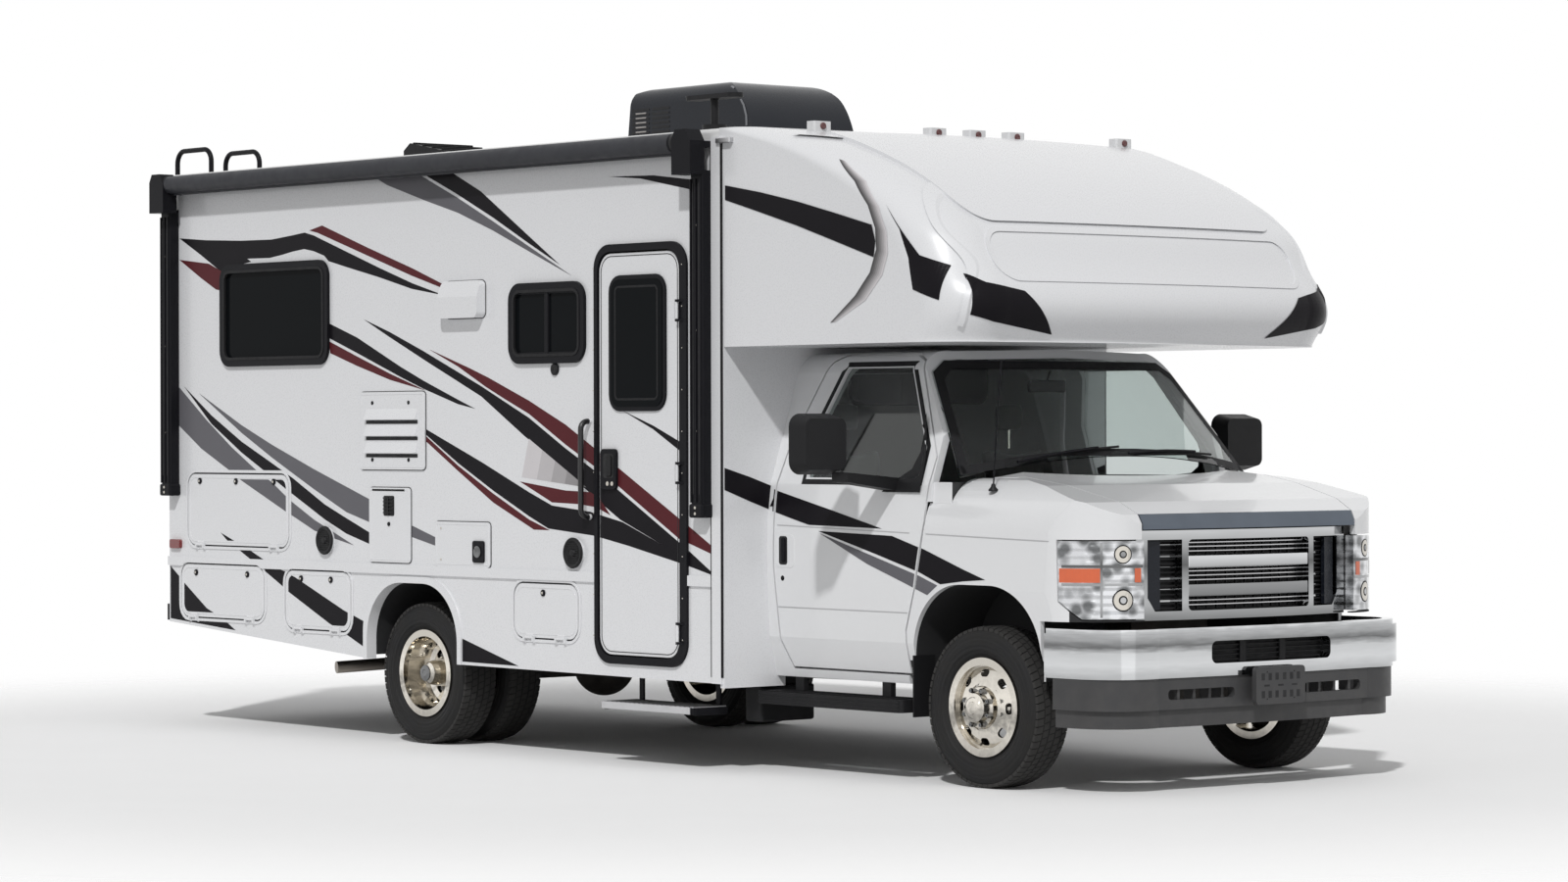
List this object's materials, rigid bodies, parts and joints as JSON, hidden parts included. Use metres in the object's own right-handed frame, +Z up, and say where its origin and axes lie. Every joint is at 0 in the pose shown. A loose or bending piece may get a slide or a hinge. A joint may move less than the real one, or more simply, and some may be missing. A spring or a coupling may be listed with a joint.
{
  "type": "motorhome",
  "caption": "Self-propelled camper on a van-cutaway chassis with over-cab bunk, dual rear wheels, side awning, opening doors and baggage hatches.",
  "frame": {"origin": "on the ground below the middle of the overall box", "axes": "+X forward, +Y to the vehicle's left, +Z up"},
  "size_m": [7.383, 3.06, 3.4],
  "materials": {
    "white_gelcoat": "glossy",
    "cab_paint": "glossy",
    "black_paint": "satin",
    "chassis_black": "matte",
    "cast_iron": "matte",
    "chrome": "polished",
    "wheel_steel": "polished",
    "tyre": "matte",
    "dark_plastic": "matte",
    "grey_plastic": "matte",
    "interior_plastic": "matte",
    "dark_glass": "tinted",
    "screen_glass": "clear",
    "lamp_lens": "clear",
    "signal_lens": "glossy",
    "seat_fabric": "woven",
    "exhaust_steel": "satin",
    "floor_board": "matte"
  },
  "bodies": {
    "vehicle": {"chassis_frame": "chassis_black", "engine_block": "cast_iron", "fuel_tank": "dark_plastic", "front_axle": "chassis_black", "rear_axle": "chassis_black", "exhaust": "exhaust_steel", "cab_shell": "cab_paint", "front_fenders": "cab_paint", "windshield": "screen_glass", "grille": "chrome", "headlamps": "lamp_lens", "front_bumper": "chrome", "front_valance": "grey_plastic", "dashboard": "interior_plastic", "cab_seats": "seat_fabric", "running_boards": "dark_plastic", "camper_floor": "floor_board", "side_wall_right": "white_gelcoat", "side_wall_left": "white_gelcoat", "rear_wall": "white_gelcoat", "camper_roof": "white_gelcoat", "overcab_cap": "white_gelcoat", "transition_panels": "white_gelcoat", "window_frames": "black_paint", "window_glass": "dark_glass", "baggage_boxes": "dark_plastic", "awning": "black_paint", "air_conditioner": "dark_plastic", "roof_vent": "dark_plastic", "ladder": "black_paint", "tv_antenna": "dark_plastic", "body_lamps": "signal_lens", "rear_bumper": "black_paint", "entry_step": "black_paint", "wall_fittings": "white_gelcoat"},
    "hood": {"hood": "cab_paint"},
    "cab_door_right": {"cab_door_right": "cab_paint", "cab_door_glass_right": "dark_glass", "mirror_right": "dark_plastic"},
    "cab_door_left": {"cab_door_left": "cab_paint", "cab_door_glass_left": "dark_glass", "mirror_left": "dark_plastic"},
    "entry_door": {"entry_door": "white_gelcoat", "entry_door_window": "dark_glass"},
    "baggage_door_rear_upper": {"baggage_door_rear_upper": "white_gelcoat"},
    "baggage_door_rear_lower": {"baggage_door_rear_lower": "white_gelcoat"},
    "baggage_door_middle": {"baggage_door_middle": "white_gelcoat"},
    "baggage_door_front": {"baggage_door_front": "white_gelcoat"},
    "baggage_door_left": {"baggage_door_left": "white_gelcoat"},
    "steering_wheel": {"steering_wheel": "dark_plastic"},
    "knuckle_right": {"knuckle_right": "cast_iron"},
    "knuckle_left": {"knuckle_left": "cast_iron"},
    "front_wheel_right": {"front_wheel_right": "wheel_steel", "front_tyre_right": "tyre"},
    "front_wheel_left": {"front_wheel_left": "wheel_steel", "front_tyre_left": "tyre"},
    "rear_wheels_right": {"rear_wheels_right": "wheel_steel", "rear_tyres_right": "tyre"},
    "rear_wheels_left": {"rear_wheels_left": "wheel_steel", "rear_tyres_left": "tyre"}
  },
  "joints": [
    {"name": "steer_left", "type": "hinge", "parent": "vehicle", "child": "knuckle_left", "pos_m": [2.7615, 0.8, 0.366], "axis": [0, 0, 1], "range_deg": [-30, 30]},
    {"name": "steer_right", "type": "hinge", "parent": "vehicle", "child": "knuckle_right", "pos_m": [2.7615, -0.8, 0.366], "axis": [0, 0, 1], "range_deg": [-30, 30]},
    {"name": "steering_wheel_turn", "type": "hinge", "parent": "vehicle", "child": "steering_wheel", "pos_m": [2.0315, 0.45, 1.215], "axis": [-0.8829, 0, 0.4695], "range_deg": [-510, 510]},
    {"name": "front_wheel_spin_right", "type": "hinge", "parent": "knuckle_right", "child": "front_wheel_right", "pos_m": [2.7615, -0.875, 0.366], "axis": [0, 1, 0], "continuous": true},
    {"name": "rear_wheel_spin_right", "type": "hinge", "parent": "vehicle", "child": "rear_wheels_right", "pos_m": [-1.2515, -0.945, 0.366], "axis": [0, 1, 0], "continuous": true},
    {"name": "front_wheel_spin_left", "type": "hinge", "parent": "knuckle_left", "child": "front_wheel_left", "pos_m": [2.7615, 0.875, 0.366], "axis": [0, 1, 0], "continuous": true},
    {"name": "rear_wheel_spin_left", "type": "hinge", "parent": "vehicle", "child": "rear_wheels_left", "pos_m": [-1.2515, 0.945, 0.366], "axis": [0, 1, 0], "continuous": true},
    {"name": "cab_door_swing_right", "type": "hinge", "parent": "vehicle", "child": "cab_door_right", "pos_m": [2.4615, -0.975, 1.14], "axis": [0, 0, 1], "range_deg": [0, 65]},
    {"name": "cab_door_swing_left", "type": "hinge", "parent": "vehicle", "child": "cab_door_left", "pos_m": [2.4615, 0.975, 1.14], "axis": [0, 0, -1], "range_deg": [0, 65]},
    {"name": "hood_lift", "type": "hinge", "parent": "vehicle", "child": "hood", "pos_m": [2.6495, 0, 1.4], "axis": [0, -1, 0], "range_deg": [0, 48]},
    {"name": "entry_door_swing", "type": "hinge", "parent": "vehicle", "child": "entry_door", "pos_m": [0.9685, -1.294, 1.51], "axis": [0, 0, 1], "range_deg": [0, 90]},
    {"name": "rear_upper_baggage_drop", "type": "hinge", "parent": "vehicle", "child": "baggage_door_rear_upper", "pos_m": [-1.2385, -1.282, 1], "axis": [1, 0, 0], "range_deg": [0, 90]},
    {"name": "rear_lower_baggage_drop", "type": "hinge", "parent": "vehicle", "child": "baggage_door_rear_lower", "pos_m": [-1.2385, -1.282, 0.6], "axis": [1, 0, 0], "range_deg": [0, 90]},
    {"name": "middle_baggage_drop", "type": "hinge", "parent": "vehicle", "child": "baggage_door_middle", "pos_m": [-1.2385, -1.282, 0.567], "axis": [1, 0, 0], "range_deg": [0, 90]},
    {"name": "front_baggage_drop", "type": "hinge", "parent": "vehicle", "child": "baggage_door_front", "pos_m": [-1.2385, -1.282, 0.59], "axis": [1, 0, 0], "range_deg": [0, 90]},
    {"name": "left_baggage_drop", "type": "hinge", "parent": "vehicle", "child": "baggage_door_left", "pos_m": [-0.1885, 1.282, 0.55], "axis": [-1, 0, 0], "range_deg": [0, 90]}
  ],
  "couplings": [
    {"joint": "steer_right", "follows": "steer_left", "ratio": 1},
    {"joint": "steering_wheel_turn", "follows": "steer_left", "ratio": 17}
  ]
}
